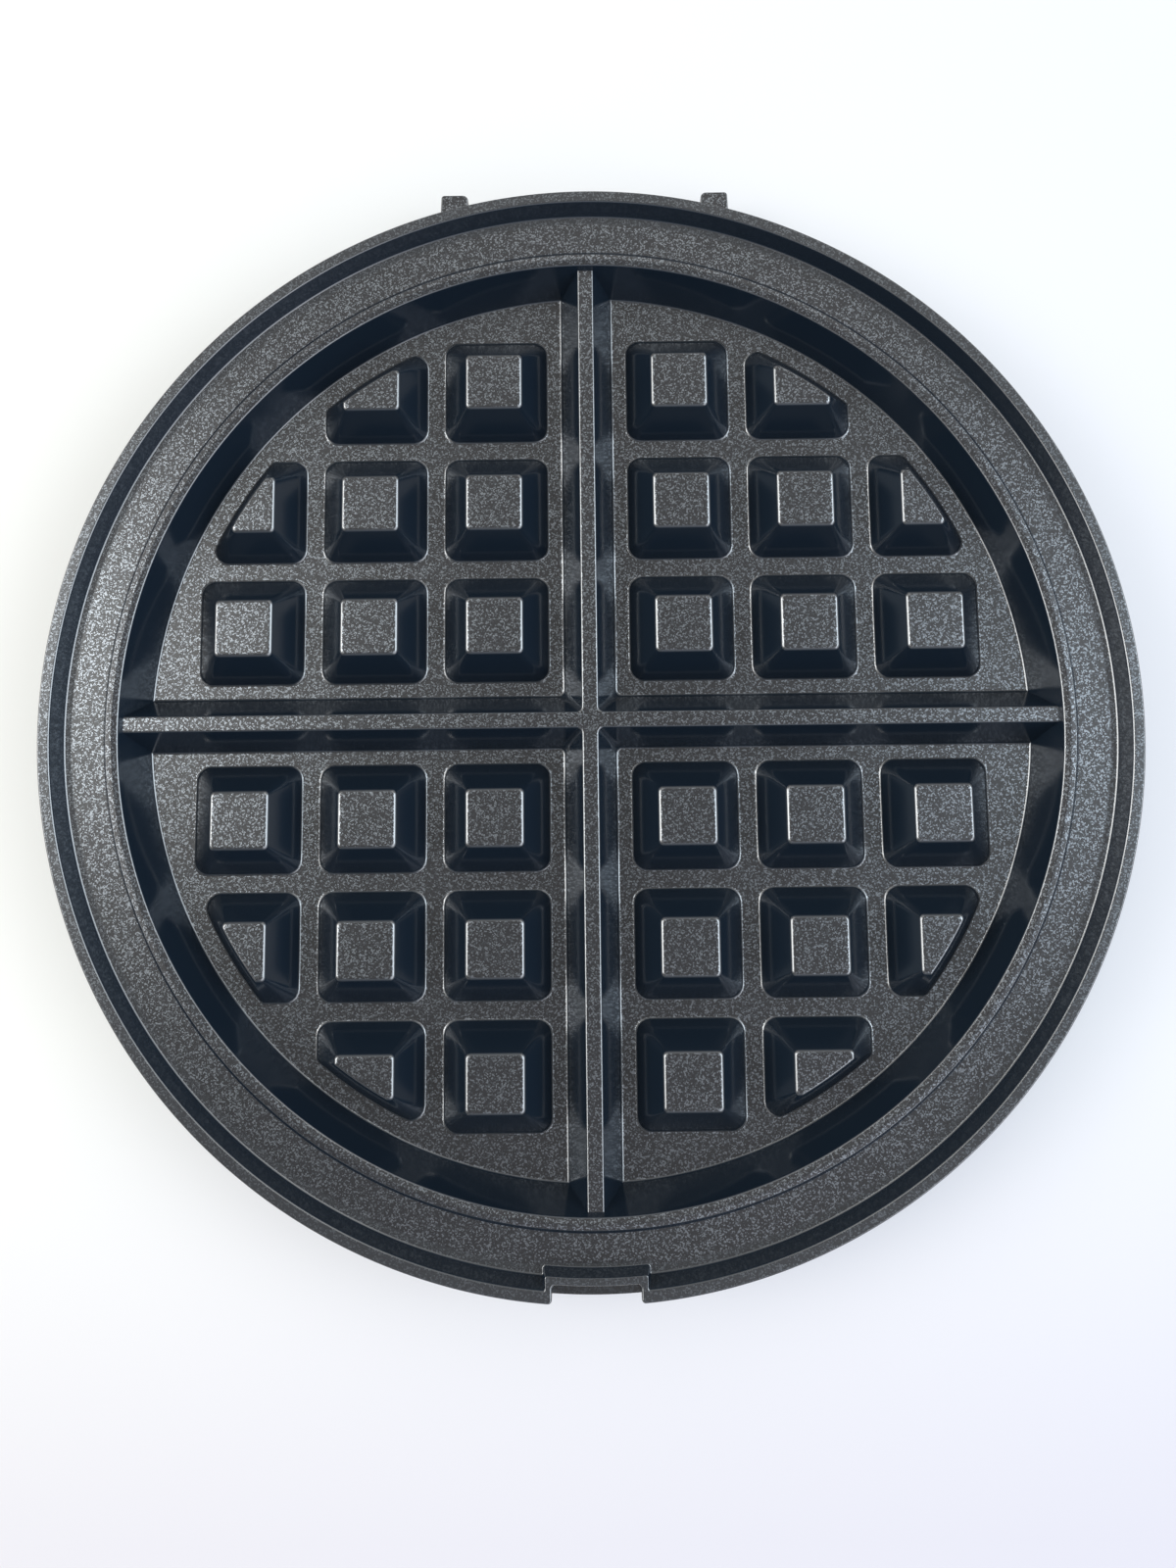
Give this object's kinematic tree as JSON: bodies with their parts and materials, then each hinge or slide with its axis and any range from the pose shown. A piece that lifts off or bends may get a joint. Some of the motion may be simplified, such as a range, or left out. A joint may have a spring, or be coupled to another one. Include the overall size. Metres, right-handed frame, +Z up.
{
  "type": "removable waffle plate",
  "caption": "Round removable waffle plate with a quartered grid of pyramid pegs, a sealing ridge, an overflow gutter, a front latch notch and rear lugs.",
  "frame": {"origin": "on the plate's axis, at the flat underside of the centre pad", "axes": "+Z up out of the cooking face, +Y towards the two rear lugs, +X to the right seen from above with the latch notch nearest"},
  "size_m": [0.208, 0.2103, 0.0179],
  "materials": {
    "nonstick_coating": "dark charcoal non-stick coating with a fine silver flake, satin, over die-cast aluminium"
  },
  "bodies": {
    "root": {"outer_rim": "nonstick_coating", "outer_skirt": "nonstick_coating", "latch_ledge": "nonstick_coating", "overflow_gutter": "nonstick_coating", "sealing_ridge": "nonstick_coating", "cavity_wall": "nonstick_coating", "underside_gussets": "nonstick_coating", "centre_hub": "nonstick_coating", "divider_rib_rear": "nonstick_coating", "divider_rib_left": "nonstick_coating", "divider_rib_front": "nonstick_coating", "divider_rib_right": "nonstick_coating", "rear_lug_left": "nonstick_coating", "rear_lug_right": "nonstick_coating", "grid_floor_rear_right": "nonstick_coating", "grid_floor_rear_left": "nonstick_coating", "grid_floor_front_right": "nonstick_coating", "grid_floor_front_left": "nonstick_coating", "waffle_pegs_rear_right": "nonstick_coating", "waffle_pegs_rear_left": "nonstick_coating", "waffle_pegs_front_right": "nonstick_coating", "waffle_pegs_front_left": "nonstick_coating"}
  },
  "joints": []
}
